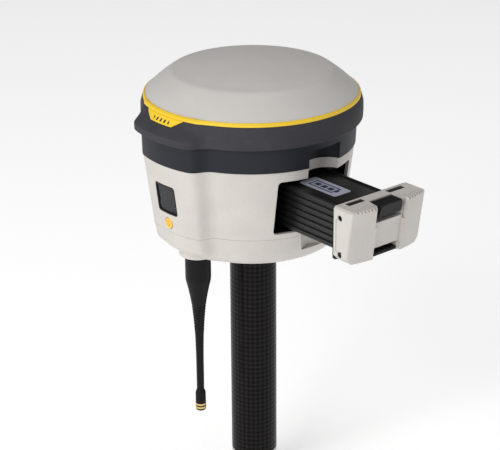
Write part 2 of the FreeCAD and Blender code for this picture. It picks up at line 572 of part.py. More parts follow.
# ---- upper shells -------------------------------------------------------------------------
def mid_band():
    outer = lobed_solid([(HOUSING_TOP, BAND_R0, LOBE_OUT), (BAND_TOP, BAND_R1, LOBE_OUT - 0.4)])
    inner = lobed_solid([(HOUSING_TOP - 1, BAND_R0 - WALL, LOBE_OUT),
                         (BAND_TOP + 1, BAND_R1 - WALL, LOBE_OUT - 0.4)])
    band = outer.cut(inner)
    pocket = disc(SCOOP_R + 1.6, HOUSING_TOP, SCOOP_Z1 + 1.6, SCOOP_X, SCOOP_Y).common(outer)
    band = band.fuse(pocket).cut(disc(SCOOP_R, HOUSING_TOP - 1, SCOOP_Z1, SCOOP_X, SCOOP_Y))
    lip = lobed_solid([(HOUSING_TOP - 3, HOUSING_R - WALL - 0.6, LOBE_OUT - 0.2),
                       (HOUSING_TOP + 2, HOUSING_R - WALL - 0.2, LOBE_OUT - 0.2)])
    lip = lip.cut(lobed_solid([(HOUSING_TOP - 4, HOUSING_R - WALL - 2.0, LOBE_OUT - 0.2),
                               (HOUSING_TOP + 3, HOUSING_R - WALL - 1.6, LOBE_OUT - 0.2)]))
    shelf_r = BAND_R0 - WALL + 0.4
    shelf = lobed_solid([(HOUSING_TOP + 0.1, shelf_r, LOBE_OUT), (HOUSING_TOP + 2, shelf_r, LOBE_OUT)])
    shelf = shelf.cut(lobed_solid([(HOUSING_TOP - 1, HOUSING_R - WALL - 1.6, LOBE_OUT - 0.2),
                                   (HOUSING_TOP + 3, HOUSING_R - WALL - 1.6, LOBE_OUT - 0.2)]))
    lip = lip.fuse(shelf).cut(box(40, 90, -22, 22, 50, 90))
    return band.fuse(lip).removeSplitter()


BUMPER_SECTIONS = ((BAND_TOP + 0.1, BUMPER_R - 0.7, 8.0), (BAND_TOP + 0.8, BUMPER_R - 0.2, 8.4),
                   (86.4, BUMPER_R, 8.2), (87.2, BUMPER_R, 7.6), (91.6, BUMPER_R - 0.1, 2.1),
                   (BUMPER_TOP - 0.9, RING_R + 0.6, 1.3), (BUMPER_TOP, RING_R + 0.1, 1.1))
TAB_SECTIONS = BUMPER_SECTIONS[4:]


def bumper():
    outer = lobed_solid(BUMPER_SECTIONS)
    bore = disc(65.6, BAND_TOP - 1, BUMPER_TOP + 1)
    return outer.cut(bore).removeSplitter()


def accent_ring():
    """The coloured ring under the dome, with a blank tab that hangs over the lobe."""
    ring = lobed_solid([(BUMPER_TOP + 0.1, RING_R, 1.2), (RING_TOP - 1.0, RING_R, 1.0),
                        (RING_TOP, RING_R - 0.9, 0.7)])
    tab_skin = lobed_solid([(90.6, BUMPER_R + 0.9, 3.4)] +
                           [(z, radius + 0.9, lobe) for z, radius, lobe in TAB_SECTIONS] +
                           [(BUMPER_TOP + 0.6, RING_R + 0.4, 1.1)])
    under = lobed_solid(list(BUMPER_SECTIONS[3:-1]) + [(BUMPER_TOP + 0.1, RING_R + 0.1, 1.1)])
    low, high = 91.9, BUMPER_TOP + 0.4
    low_x, high_x = 10.0, 17.5
    trapezoid = [Vector(-low_x, -90, low), Vector(low_x, -90, low), Vector(high_x, -90, high),
                 Vector(-high_x, -90, high)]
    window = Part.Face(Part.makePolygon(trapezoid + trapezoid[:1])).extrude(Vector(0, 60, 0))
    tab = tab_skin.cut(under).common(window)
    return ring.fuse(tab).cut(disc(RADOME_R + 0.1, 80, 120)).removeSplitter()


def dome_outline(inset):
    """The dome's outline from its rim to its top: a steep rounded skirt, then a shallow cap."""
    cap_r = 186.0
    crease = 51.5
    points = [(RADOME_R - inset, RING_TOP)]
    crease_z = DOME_TOP - crease ** 2 / (2 * cap_r)
    steps = 8
    for i in range(1, steps + 1):
        t = i / steps
        r = RADOME_R + (crease - RADOME_R) * t
        z = RING_TOP + (crease_z - RING_TOP) * (1.22 * t - 0.22 * t * t)
        points.append((r - inset * (0.85 - 0.3 * t), z - inset * (0.4 + 0.6 * t)))
    for i in range(1, 11):
        r = crease * (1 - i / 10.0)
        points.append((r * (1 - inset / cap_r), DOME_TOP - inset - r * r / (2 * cap_r)))
    return points


def smooth_revolve(points, low_z):
    """A solid of revolution under a smooth curve through (radius, z) points."""
    curve = Part.BSplineCurve()
    curve.interpolate([Vector(r, 0, z) for r, z in points])
    start, end = points[0], points[-1]
    edges = [curve.toShape(),
             Part.makeLine(Vector(end[0], 0, end[1]), Vector(0, 0, low_z)),
             Part.makeLine(Vector(0, 0, low_z), Vector(start[0], 0, low_z)),
             Part.makeLine(Vector(start[0], 0, low_z), Vector(start[0], 0, start[1]))]
    return Part.Face(Part.Wire(edges)).revolve(Vector(0, 0, 0), Vector(0, 0, 1), 360)


RADOME_LOW = BUMPER_TOP - 7.0


def radome():
    shell = smooth_revolve(dome_outline(0.0), BUMPER_TOP + 0.2)
    spigot = disc(65.4, RADOME_LOW, BUMPER_TOP + 0.3)
    inner = smooth_revolve(dome_outline(2.2), RADOME_LOW - 1)
    groove = tube(67, 64.3, 91.0, 93.2)
    return shell.fuse(spigot).cut(inner.common(disc(63.2, 0, 200))).cut(groove).removeSplitter()


def upper_shells():
    save("mid_band", mid_band(), HEAD_BASE)
    save("bumper", bumper(), HEAD_BASE)
    save("accent_ring", accent_ring(), HEAD_BASE)
    save("radome", radome(), HEAD_BASE)
    save("radome_seal", tube(65.5, 64.35, 91.1, 93.1), HEAD_BASE)


# ---- electronics --------------------------------------------------------------------------
CHASSIS_Z = 61.8
BOARD_Z = 68.0
DECK_Z = 84.0
STANDOFF_ANGLES = (55, 125, -125, -55)


def electronics():
    scoop_room = disc(SCOOP_R + 3.0, 50, 90, SCOOP_X, SCOOP_Y)
    plate = disc(59.0, CHASSIS_Z, CHASSIS_Z + 2.2).cut(scoop_room)
    plate = plate.cut(disc(9.0, 50, 70, 0, -47))
    for angle in STANDOFF_ANGLES:
        plate = plate.cut(disc(1.3, 50, 70, *polar(54.0, angle)))
    save("chassis_plate", plate, HEAD_BASE)
    pillars, screws = [], []
    for angle in STANDOFF_ANGLES:
        x, y = polar(54.0, angle)
        pillars.append(tube(3.0, 1.3, CHASSIS_Z + 2.2, DECK_Z, x, y))
        screws.append(disc(2.6, DECK_Z + 1.6, DECK_Z + 3.4, x, y).fuse(disc(1.2, DECK_Z - 8, DECK_Z + 1.6, x, y)))
    save("standoffs", Part.makeCompound(pillars), HEAD_BASE)
    save("deck_screws", Part.makeCompound(screws), HEAD_BASE)
    board = disc(50.0, BOARD_Z, BOARD_Z + 1.6).cut(scoop_room)
    save("main_board", board, HEAD_BASE)
    feet = [disc(2.2, CHASSIS_Z + 2.2, BOARD_Z, *polar(44.0, a)) for a in (35, 145, -145, -35)]
    save("board_feet", Part.makeCompound(feet), HEAD_BASE)
    top = BOARD_Z + 1.6
    cans = [box(-34, -8, -16, 14, top, top + 3.5), box(-2, 24, -30, -8, top, top + 3.0),
            box(-4, 22, 6, 32, top, top + 3.0)]
    save("board_shields", Part.makeCompound(cans), HEAD_BASE)
    save("radio_module", box(-30, -12, -38, -20, top, top + 4.5), HEAD_BASE)
    save("cellular_module", box(-26, -4, 18, 40, top, top + 2.6), HEAD_BASE)
    deck = disc(60.0, DECK_Z, DECK_Z + 1.6)
    for angle in STANDOFF_ANGLES:
        deck = deck.cut(disc(1.3, 80, 90, *polar(54.0, angle)))
    save("ground_plane", deck, HEAD_BASE)
    lower = round_edges(box(-33, 33, -33, 33, DECK_Z + 1.6, DECK_Z + 8.0), 3.0, (0, 0, 1))
    upper = round_edges(box(-24, 24, -24, 24, DECK_Z + 8.0, DECK_Z + 14.0), 3.0, (0, 0, 1))
    save("antenna_patch_lower", lower, HEAD_BASE)
    save("antenna_patch_upper", upper, HEAD_BASE)
    save("amplifier_board", box(-22, 22, -22, 22, DECK_Z - 1.6, DECK_Z), HEAD_BASE)
    save("amplifier_shield", box(-17, 17, -17, 17, DECK_Z - 5.0, DECK_Z - 1.6), HEAD_BASE)


# ---- whip antenna -------------------------------------------------------------------------
def lathe(outline, x, y):
    body = revolve(outline)
    body.translate(Vector(x, y, 0))
    return body


def antenna_parts():
    top = -WHIP_BOSS_H
    flange_z = WHIP_BOSS_TOP
    connector = tube(7.1, 2.2, top + 1.0, flange_z, 0, WHIP_Y)
    connector = connector.fuse(tube(8.6, 2.2, flange_z, flange_z + 2, 0, WHIP_Y))
    save("antenna_connector", connector.removeSplitter(), HEAD_BASE)
    low = top - WHIP_LEN
    sleeve = [(0, top - 0.3), (8.0, top - 0.3), (8.3, top - 1.2), (8.3, top - 15.5), (7.6, top - 20),
              (6.3, top - 26), (5.0, top - 33), (4.1, top - 41), (3.5, top - 48), (2.8, top - 58),
              (2.5, top - 72), (2.4, low + 15), (3.2, low + 13.6), (3.4, low + 12.2),
              (3.4, low + 10), (0, low + 10)]
    body = lathe(sleeve, 0, WHIP_Y)
    for row in range(7):
        z = top - 37 - row * RIB_PITCH
        body = body.cut(tube(9, 4.3 - 0.165 * row, z, z + 0.9, 0, WHIP_Y))
    body = body.cut(disc(1.3, low, top, 0, WHIP_Y)).cut(disc(5.0, top - 6, top, 0, WHIP_Y))
    save("whip_sleeve", body.removeSplitter(), HEAD_BASE)
    nut = tube(4.9, 1.3, top - 5.9, top - 0.3, 0, WHIP_Y).fuse(disc(2.15, top - 0.3, top + 7, 0, WHIP_Y))
    save("whip_plug", nut.cut(disc(1.3, top - 7, top - 0.3, 0, WHIP_Y)).removeSplitter(), HEAD_BASE)
    save("whip_element", disc(1.25, low + 2.5, top - 0.35, 0, WHIP_Y), HEAD_BASE)
    tip = lathe([(0, low), (2.8, low), (3.4, low + 0.8), (3.4, low + 10), (0, low + 10)], 0, WHIP_Y)
    tip = tip.cut(disc(1.3, low + 2.4, low + 11, 0, WHIP_Y))
    rings = []
    for z in (low + 1.5, low + 3.8):
        tip = tip.cut(tube(4, 3.1, z, z + 1.3, 0, WHIP_Y))
        rings.append(tube(3.45, 3.1, z, z + 1.3, 0, WHIP_Y))
    save("whip_tip", tip.removeSplitter(), HEAD_BASE)
    save("tip_rings", Part.makeCompound(rings), HEAD_BASE)
    save("radio_coax", rod(0.9, (0, WHIP_Y, WHIP_BOSS_TOP + 2.1), (0, WHIP_Y, BOARD_Z - 0.3)), HEAD_BASE)


def main():
    os.makedirs("parts", exist_ok=True)
    pole_parts()
    base_fittings()
    save("lower_housing", lower_housing(), HEAD_BASE)
    display_parts()
    port_parts()
    bay_parts()
    drawer_parts()
    upper_shells()
    electronics()
    antenna_parts()


main()
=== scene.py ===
"""A pole-mounted satellite positioning receiver: finishes, fine pieces, studio and camera."""

import json
import math

import bpy
from bpy.props import FloatProperty, FloatVectorProperty, PointerProperty
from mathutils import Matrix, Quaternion, Vector

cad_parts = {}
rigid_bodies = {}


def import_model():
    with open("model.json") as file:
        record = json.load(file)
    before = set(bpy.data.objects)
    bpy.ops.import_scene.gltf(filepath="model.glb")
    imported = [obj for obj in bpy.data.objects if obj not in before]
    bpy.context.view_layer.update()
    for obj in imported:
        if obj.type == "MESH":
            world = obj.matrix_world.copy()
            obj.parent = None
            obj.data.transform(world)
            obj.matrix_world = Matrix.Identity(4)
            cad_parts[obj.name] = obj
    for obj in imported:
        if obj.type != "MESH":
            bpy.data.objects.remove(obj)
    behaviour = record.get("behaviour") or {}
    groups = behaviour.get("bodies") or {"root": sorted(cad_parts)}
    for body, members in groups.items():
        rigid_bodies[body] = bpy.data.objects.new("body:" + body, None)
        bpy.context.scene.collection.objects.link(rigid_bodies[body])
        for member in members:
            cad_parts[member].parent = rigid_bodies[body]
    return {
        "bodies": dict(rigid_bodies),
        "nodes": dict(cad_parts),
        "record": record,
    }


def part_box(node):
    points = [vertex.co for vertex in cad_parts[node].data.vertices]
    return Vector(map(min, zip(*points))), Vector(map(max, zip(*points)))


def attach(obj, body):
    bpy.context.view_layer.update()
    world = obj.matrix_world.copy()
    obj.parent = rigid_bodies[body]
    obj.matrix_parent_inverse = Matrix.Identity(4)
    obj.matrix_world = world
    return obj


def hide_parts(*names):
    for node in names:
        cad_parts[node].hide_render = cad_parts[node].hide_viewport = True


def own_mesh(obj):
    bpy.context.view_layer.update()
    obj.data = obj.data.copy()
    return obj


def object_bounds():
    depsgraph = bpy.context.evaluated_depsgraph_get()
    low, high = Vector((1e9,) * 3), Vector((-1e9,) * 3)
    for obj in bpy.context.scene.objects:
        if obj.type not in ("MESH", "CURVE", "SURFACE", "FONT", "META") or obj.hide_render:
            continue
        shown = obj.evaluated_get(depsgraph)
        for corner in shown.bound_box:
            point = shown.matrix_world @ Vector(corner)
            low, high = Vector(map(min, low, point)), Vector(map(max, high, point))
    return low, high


bl_info = {
    "name": "Satellite receiver looks",
    "version": (1, 0, 0),
    "blender": (4, 5, 0),
    "location": "3D View > Sidebar > Receiver",
    "description": "Builds the finishes and fine pieces of a pole-mounted satellite receiver",
    "category": "Object",
}

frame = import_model()
CAD_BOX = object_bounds()
MM = 0.001
HEAD_BASE = 182.0      # underside of the head, in millimetres above the object's origin
WHIP_TOP = HEAD_BASE - 1.6     # where the whip meets its boss
WHIP_Y = -46.0
BUTTON_Z = HEAD_BASE + 25.4    # middle of the power button
SPRING_R = 1.4         # outer radius of a latch spring
WIRE_R = 0.22
SPRING_TURNS = 5
SMOOTH_ANGLE = math.radians(32)


# ---- settings -----------------------------------------------------------------------------
class ReceiverColours(bpy.types.PropertyGroup):
    """The colours of the large parts, as linear light."""

    shell: FloatVectorProperty(name="Shell", description="Light plastic of the housing and drawer cap",
                               subtype="COLOR", size=3, default=(0.60, 0.565, 0.53), min=0, max=1)
    dome: FloatVectorProperty(name="Dome", description="Satin paint of the dome over the antenna",
                              subtype="COLOR", size=3, default=(0.60, 0.575, 0.55), min=0, max=1)
    band: FloatVectorProperty(name="Band", description="Dark plastic band under the bumper",
                              subtype="COLOR", size=3, default=(0.0125, 0.0155, 0.022), min=0, max=1)
    bumper: FloatVectorProperty(name="Bumper", description="Rubber of the bumper ring",
                                subtype="COLOR", size=3, default=(0.043, 0.043, 0.050), min=0, max=1)
    accent: FloatVectorProperty(name="Accent", description="Coloured ring below the dome",
                                subtype="COLOR", size=3, default=(0.90, 0.60, 0.025), min=0, max=1)
    battery: FloatVectorProperty(name="Battery", description="Plastic of the battery and its latches",
                                 subtype="COLOR", size=3, default=(0.0075, 0.0075, 0.0080), min=0, max=1)


class ReceiverStage(bpy.types.PropertyGroup):
    """Camera, floor and lights."""

    azimuth: FloatProperty(name="Azimuth", description="Side the camera stands on, from the front lobe",
                           subtype="ANGLE", default=math.radians(50.0))
    elevation: FloatProperty(name="Elevation", description="Height of the camera above the horizon",
                             subtype="ANGLE", default=math.radians(22.51))
    roll: FloatProperty(name="Roll", description="Turn of the camera about its own line of sight",
                        subtype="ANGLE", default=math.radians(-0.437))
    distance: FloatProperty(name="Distance", description="From the camera to the point it looks at",
                            unit="LENGTH", default=1.085)
    lens: FloatProperty(name="Lens", description="Focal length in millimetres on a 36 mm sensor",
                        default=119.86)
    aim: FloatVectorProperty(name="Aim", description="Point that the camera looks at", subtype="XYZ",
                             unit="LENGTH", size=3, default=(-0.00118, -0.00141, 0.18742))
    floor: FloatProperty(name="Floor", description="Side of the square floor", unit="LENGTH", default=9.0)


# ---- shader building ----------------------------------------------------------------------
class Value:
    """An output socket of a node tree; arithmetic on it adds Math nodes."""

    def __init__(self, finish, socket):
        self.finish = finish
        self.socket = socket

    def maths(self, operation, *terms):
        return self.finish.node("ShaderNodeMath", {"operation": operation}, dict(enumerate(terms)))

    def __add__(self, other):
        return self.maths("ADD", self, other)

    __radd__ = __add__

    def __sub__(self, other):
        return self.maths("SUBTRACT", self, other)

    def __rsub__(self, other):
        return self.maths("SUBTRACT", other, self)

    def __mul__(self, other):
        return self.maths("MULTIPLY", self, other)

    __rmul__ = __mul__

    def __truediv__(self, other):
        return self.maths("DIVIDE", self, other)

    def __gt__(self, other):
        return self.maths("GREATER_THAN", self, other)

    def __lt__(self, other):
        return self.maths("LESS_THAN", self, other)


class Finish:
    """A material whose node tree is built by node() and by arithmetic on Values."""

    def __init__(self, name, **constants):
        self.material = bpy.data.materials.new(name)
        self.material.use_nodes = True
        self.tree = self.material.node_tree
        self.surface = self.tree.nodes["Principled BSDF"]
        self.point = self.node("ShaderNodeTexCoord", output="Object")
        for socket, value in constants.items():
            self.surface.inputs[socket.replace("_", " ")].default_value = value

    def node(self, kind, settings=None, inputs=None, output=0):
        """Adds a node, sets its type and options, then its values and links."""
        made = self.tree.nodes.new(kind)
        for name, value in (settings or {}).items():
            setattr(made, name, value)
        for name, value in (inputs or {}).items():
            self.give(made.inputs[name], value)
        return Value(self, made.outputs[output])

    def give(self, socket, value):
        """Links a Value to a socket, or sets a constant on it."""
        if isinstance(value, Value):
            self.tree.links.new(value.socket, socket)
        elif socket.type == "RGBA" and len(value) == 3:
            socket.default_value = (*value, 1.0)
        else:
            socket.default_value = value

    def set(self, socket, value):
        self.give(self.surface.inputs[socket], value)

    def noise(self, scale, detail=3.0, roughness=0.55, stretch=None):
        point = self.point
        if stretch:
            point = self.node("ShaderNodeMapping", {"vector_type": "POINT"},
                              {"Vector": self.point, "Scale": stretch})
        return self.node("ShaderNodeTexNoise", None, {"Vector": point, "Scale": scale, "Detail": detail,
                                                      "Roughness": roughness})

    def axis(self, name):
        return self.node("ShaderNodeSeparateXYZ", None, {0: self.point}, output=name)

    def blend(self, factor, first, second):
        return self.node("ShaderNodeMix", {"data_type": "RGBA"}, {"Factor": factor, 6: first, 7: second},
                         output=2)

    def smooth(self, value, low, high, to_low=0.0, to_high=1.0):
        """Takes low to to_low and high to to_high with soft ends."""
        return self.node("ShaderNodeMapRange", {"interpolation_type": "SMOOTHSTEP"},
                         {"Value": value, "From Min": low, "From Max": high, "To Min": to_low,
                          "To Max": to_high})

    def bump(self, height, distance, strength=1.0):
        normal = self.node("ShaderNodeBump", None, {"Height": height, "Distance": distance,
                                                    "Strength": strength})
        self.set("Normal", normal)


def patch(finish, x0, x1, y0, y1, axes="XY"):
    """1 inside a rectangle given in millimetres, 0 outside it."""
    across, along = finish.axis(axes[0]), finish.axis(axes[1])
    return (across > x0 * MM) * (across < x1 * MM) * (along > y0 * MM) * (along < y1 * MM)


def shade(colour, factor):
    return tuple(min(1.0, channel * factor) for channel in colour)


# ---- finishes -----------------------------------------------------------------------------
def moulded(name, colour, roughness, grain=0.35, spread=0.06, grime=0.10,
            mark=None, ink=None, **constants):
    """Injection-moulded plastic: fine spark-eroded grain, faint mottling and handling marks."""
    finish = Finish(name, **constants)
    mottle = finish.noise(38.0, 4.0)
    flecks = finish.noise(900.0, 2.0)
    tone = finish.smooth(mottle * 0.7 + flecks * 0.3, 0.30, 0.70)
    colour_node = finish.blend(tone, shade(colour, 1 - spread), shade(colour, 1 + spread))
    marks = finish.smooth(finish.noise(14.0, 6.0, 0.7), 0.52, 0.78)
    worn = finish.blend(marks * grime, colour_node, shade(colour, 0.72))
    finish.set("Base Color", finish.blend(mark(finish), worn, ink) if mark else worn)
    finish.set("Roughness", roughness + (mottle - 0.5) * 0.16 + marks * 0.08)
    pits = finish.noise(4200.0, 2.0, 0.6)
    finish.bump(pits + finish.noise(1300.0, 2.0) * 0.5, 0.00004, grain)
    return finish.material


def battery_mark(finish):
    """A plain battery outline with three charge bars, printed on the label."""
    outline = patch(finish, 63.0, 84.0, -9.0, -0.4) - patch(finish, 64.2, 82.8, -7.8, -1.6)
    terminal = patch(finish, 84.0, 85.6, -6.6, -2.8)
    bars = [patch(finish, x, x + 4.4, -6.6, -2.8) for x in (65.6, 71.3, 77.0)]
    return outline + terminal + bars[0] + bars[1] + bars[2]


def tab_mark(finish):
    """Four slanted bars printed on the tab of the coloured ring."""
    slant = (finish.axis("X") - finish.axis("Z") * 0.5 + 0.2) / (3.6 * MM)
    bar = slant.maths("FRACT", slant) < 0.42
    front = finish.axis("Y") < -60 * MM
    return bar * front * patch(finish, -7.5, 7.5, 275.0, 277.0, "XZ")


def power_mark(finish):
    """The usual open ring and bar of a power button."""
    x, z = finish.axis("X"), finish.axis("Z") - BUTTON_Z * MM
    span = (x * x + z * z).maths("SQRT", x * x + z * z)
    ring = (span > 1.25 * MM) * (span < 1.75 * MM)
    notch = patch(finish, -0.55, 0.55, BUTTON_Z + 0.8, BUTTON_Z + 2.6, "XZ")
    return ring * (1.0 - notch) + patch(finish, -0.22, 0.22, BUTTON_Z + 0.3, BUTTON_Z + 2.0, "XZ")


def rubber(name, colour, roughness=0.62, dust=0.30, grain=0.5):
    """Rubber with a matt bloom, a little dust in its grain and faint scuffs."""
    finish = Finish(name, Specular_IOR_Level=0.16)
    bloom = finish.smooth(finish.noise(55.0, 5.0, 0.65), 0.35, 0.72)
    scuffs = finish.smooth(finish.noise(160.0, 3.0, 0.6, (1.0, 1.0, 5.0)), 0.60, 0.75)
    dusty = finish.blend(bloom * dust, colour, shade(colour, 1.7))
    finish.set("Base Color", finish.blend(scuffs * 0.22, dusty, shade(colour, 2.4)))
    finish.set("Roughness", roughness + bloom * 0.12 - scuffs * 0.08)
    finish.bump(finish.noise(2600.0, 3.0, 0.6), 0.00006, grain)
    return finish.material


def metal(name, colour, roughness, lines=(1.0, 1.0, 60.0), spread=0.12):
    """Machined or brushed metal: fine tool lines along one direction and dull patches."""
    finish = Finish(name, Metallic=1.0)
    tool = finish.noise(420.0, 3.0, 0.6, lines)
    dull = finish.noise(70.0, 4.0)
    finish.set("Base Color", finish.blend(finish.smooth(dull, 0.3, 0.7), shade(colour, 1 - spread),
                                          shade(colour, 1 + spread)))
    finish.set("Roughness", roughness + (tool - 0.5) * 0.22 + (dull - 0.5) * 0.15)
    finish.bump(tool, 0.00003, 0.35)
    return finish.material


def threaded(name, colour, roughness, radius, pitch):
    """Metal with a screw thread on every round face up to a radius, with painted shade in the thread's
    valleys.
    """
    finish = Finish(name, Metallic=1.0)
    x, y = finish.axis("X"), finish.axis("Y")
    turn = x.maths("ARCTAN2", y, x) / (2 * math.pi)
    span = (x * x + y * y).maths("SQRT", x * x + y * y)
    inside = span < radius
    tooth = (finish.axis("Z") / pitch + turn).maths("PINGPONG", finish.axis("Z") / pitch + turn, 0.5)
    dull = finish.noise(90.0, 4.0)
    # Painted shade: the valleys of the thread are darkened in the base colour below.
    valley_painted_shade = inside * finish.smooth(tooth, 0.28, 0.05)
    base = finish.blend(finish.smooth(dull, 0.3, 0.7), shade(colour, 0.86), shade(colour, 1.08))
    finish.set("Base Color", finish.blend(valley_painted_shade * 0.7, base, shade(colour, 0.25)))
    finish.set("Roughness", roughness + (dull - 0.5) * 0.15)
    finish.bump(tooth * inside + dull * 0.02, 0.0009, 0.8)
    return finish.material


def carbon(name):
    """Braided carbon tube: two sets of tows that cross in diamonds, under satin resin, with a painted
    sheen on the over tows and on the crowns of the tows.
    """
    finish = Finish(name, Coat_Roughness=0.16, Specular_IOR_Level=0.07)
    around, rise = 30.0, 3.2 * MM
    x, y, z = finish.axis("X"), finish.axis("Y"), finish.axis("Z")
    turn = x.maths("ARCTAN2", y, x) * (around / (2 * math.pi))
    lift = z / rise
    first, second = turn + lift, turn - lift
    first_in, second_in = first.maths("FRACT", first), second.maths("FRACT", second)
    parity = (first - first_in + second - second_in) * 0.5
    over = parity.maths("FRACT", parity) > 0.25
    crown_first = (first_in * math.pi).maths("SINE", first_in * math.pi)
    crown_second = (second_in * math.pi).maths("SINE", second_in * math.pi)
    crown = over * crown_first + (1.0 - over) * crown_second
    fibres = finish.noise(2400.0, 2.0, 0.5, (1.0, 1.0, 0.25))
    resin = finish.noise(60.0, 4.0)
    # Painted reflection: the over tows are painted lighter than the under tows, in place of the sheen of
    # the fibres.
    tow_with_painted_sheen = finish.blend(over, (0.0012, 0.0009, 0.0010), (0.0095, 0.0076, 0.0074))
    # Painted highlight: each tow is painted lighter along its crown, streaked by the fibre noise.
    finish.set("Base Color", finish.blend(crown * fibres * 0.5, tow_with_painted_sheen, (0.012, 0.010, 0.010)))
    finish.set("Roughness", 0.40 - over * 0.16 + (fibres - 0.5) * 0.15)
    finish.set("Coat Weight", 0.01 + over * 0.08 + resin * 0.04)
    finish.bump(crown * 0.8 + fibres * 0.2, 0.00010, 0.45)
    return finish.material


def smoked_glass(name):
    """Tinted display window: a little of what lies behind it shows through."""
    finish = Finish(name, IOR=1.5, Coat_Weight=0.0)
    smear = finish.smooth(finish.noise(120.0, 5.0, 0.7, (1.0, 1.0, 2.5)), 0.45, 0.8)
    finish.set("Base Color", finish.blend(smear, (0.020, 0.023, 0.028), (0.030, 0.034, 0.040)))
    finish.set("Roughness", 0.07 + smear * 0.14)
    finish.set("Alpha", 0.50 + smear * 0.06)
    return finish.material


def circuit(name, colour):
    """Circuit board: solder mask over tracks, with rows of small tinned pads."""
    finish = Finish(name, Specular_IOR_Level=0.5)
    cells = finish.node("ShaderNodeTexVoronoi", {"feature": "F1", "distance": "CHEBYCHEV"},
                        {"Vector": finish.point, "Scale": 260.0}, output="Distance")
    tracks = finish.node("ShaderNodeTexBrick", None,
                         {"Vector": finish.point, "Scale": 180.0, "Mortar Size": 0.03}, output="Fac")
    pads = cells < 0.16
    mask = finish.blend(tracks, colour, shade(colour, 1.9))
    finish.set("Base Color", finish.blend(pads, mask, (0.60, 0.55, 0.42)))
    finish.set("Metallic", pads * 0.9)
    finish.set("Roughness", 0.42 - pads * 0.1)
    finish.bump(tracks + pads, 0.00005, 0.6)
    return finish.material


def lit(name, colour, strength):
    """Small lamp lens with a faint glow that is uneven across it."""
    finish = Finish(name, Roughness=0.35, Emission_Strength=strength)
    glow = finish.noise(700.0, 2.0)
    finish.set("Base Color", finish.blend(glow, shade(colour, 0.6), colour))
    finish.set("Emission Color", finish.blend(glow, shade(colour, 0.7), colour))
    return finish.material


def finishes(colours):
    """Every finish by the name of the record's material slot."""
    return {
        "carbon": carbon("carbon_tube"),
        "anodised_aluminium": threaded("ferrule_metal", (0.55, 0.55, 0.56), 0.34, 8.3 * MM, 2.309 * MM),
        "black_fitting": threaded("pole_top_metal", (0.30, 0.30, 0.31), 0.36, 8.3 * MM, 2.309 * MM),
        "rubber_black": rubber("seal_rubber", (0.012, 0.012, 0.013)),
        "shell_light": moulded("shell_plastic", tuple(colours.shell), 0.48),
        "band_dark": moulded("band_plastic", tuple(colours.band), 0.50, spread=0.10,
                             Specular_IOR_Level=0.25),
        "bumper_rubber": rubber("bumper_skin", tuple(colours.bumper), 0.58),
        "accent_yellow": moulded("accent_plastic", tuple(colours.accent), 0.40, 0.2, 0.04, 0.06,
                                 tab_mark, (0.030, 0.028, 0.022)),
        "radome_grey": moulded("dome_paint", tuple(colours.dome), 0.44, 0.22, 0.03, 0.06),
        "display_glass": smoked_glass("display_tint"),
        "bezel_black": moulded("black_plastic", (0.008, 0.008, 0.009), 0.46, spread=0.15,
                               Specular_IOR_Level=0.22),
        "display_dark": moulded("display_backing", (0.045, 0.050, 0.060), 0.30, 0.1),
        "amber": moulded("button_amber", (0.93, 0.53, 0.05), 0.42, 0.25, 0.05, 0.05,
                         power_mark, (0.62, 0.28, 0.02)),
        "led_green": lit("led_lens", (0.25, 0.75, 0.35), 0.4),
        "battery_black": moulded("battery_plastic", tuple(colours.battery), 0.34, 0.45, 0.15,
                                 Specular_IOR_Level=0.38),
        "label_pale": moulded("label_film", (0.42, 0.44, 0.52), 0.30, 0.12, 0.04, 0.08,
                               battery_mark, (0.018, 0.022, 0.075)),
        "cell_wrap": moulded("cell_sleeve", (0.05, 0.14, 0.42), 0.30, 0.1),
        "brass": metal("brass_turned", (0.72, 0.52, 0.22), 0.30),
        "gold_contact": metal("gold_plate", (0.83, 0.60, 0.25), 0.22),
        "steel": metal("steel_bright", (0.42, 0.41, 0.40), 0.30),
        "aluminium_cast": metal("aluminium_plate", (0.60, 0.60, 0.61), 0.45, (1.0, 30.0, 1.0)),
        "circuit_board": circuit("board_mask", (0.010, 0.085, 0.030)),
        "shield_tin": metal("tin_plate", (0.66, 0.66, 0.64), 0.28, (30.0, 1.0, 1.0)),
        "ceramic": moulded("patch_ceramic", (0.62, 0.56, 0.46), 0.60, 0.5),
        "switch_black": moulded("switch_plastic", (0.014, 0.014, 0.014), 0.5),
        "nickel": metal("nickel_plate", (0.60, 0.57, 0.50), 0.26),
        "whip_rubber": rubber("whip_skin", (0.0045, 0.0045, 0.0050), 0.42, 0.2, 0.35),
        "screw_black": metal("screw_black_oxide", (0.030, 0.030, 0.032), 0.38),
        "cable_black": rubber("cable_jacket", (0.012, 0.012, 0.012), 0.5),
    }


MADE = {}
NODE_FINISH = {"cap_screws": "screw_black"}
SOFT_EDGES = (("lower_housing", 0.35), ("base_cover", 0.35), ("mid_band", 0.35), ("bumper", 0.6),
              ("accent_ring", 0.25), ("end_cap", 0.35), ("upper_latch", 0.25), ("lower_latch", 0.25),
              ("battery_case", 0.3), ("window_bezel", 0.2))


# ---- modelling ----------------------------------------------------------------------------
def only(obj):
    """Makes one object the selected and active one."""
    bpy.ops.object.select_all(action="DESELECT")
    obj.select_set(True)
    bpy.context.view_layer.objects.active = obj


def settle(obj, name, body, slot, *nodes):
    """Cleans a new piece, names it, and hands it to its body, its finish and the nodes it stands for."""
    only(obj)
    bpy.ops.object.transform_apply(location=True, rotation=True, scale=True)
    bpy.ops.object.mode_set(mode="EDIT")
    bpy.ops.mesh.select_all(action="SELECT")
    bpy.ops.mesh.normals_make_consistent(inside=False)
    bpy.ops.object.mode_set(mode="OBJECT")
    bpy.ops.object.shade_smooth_by_angle(angle=SMOOTH_ANGLE)
    obj.name = name
    obj.data.name = name
    obj.data.materials.clear()
    obj.data.materials.append(MADE[slot])
    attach(obj, body)
    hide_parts(*nodes)


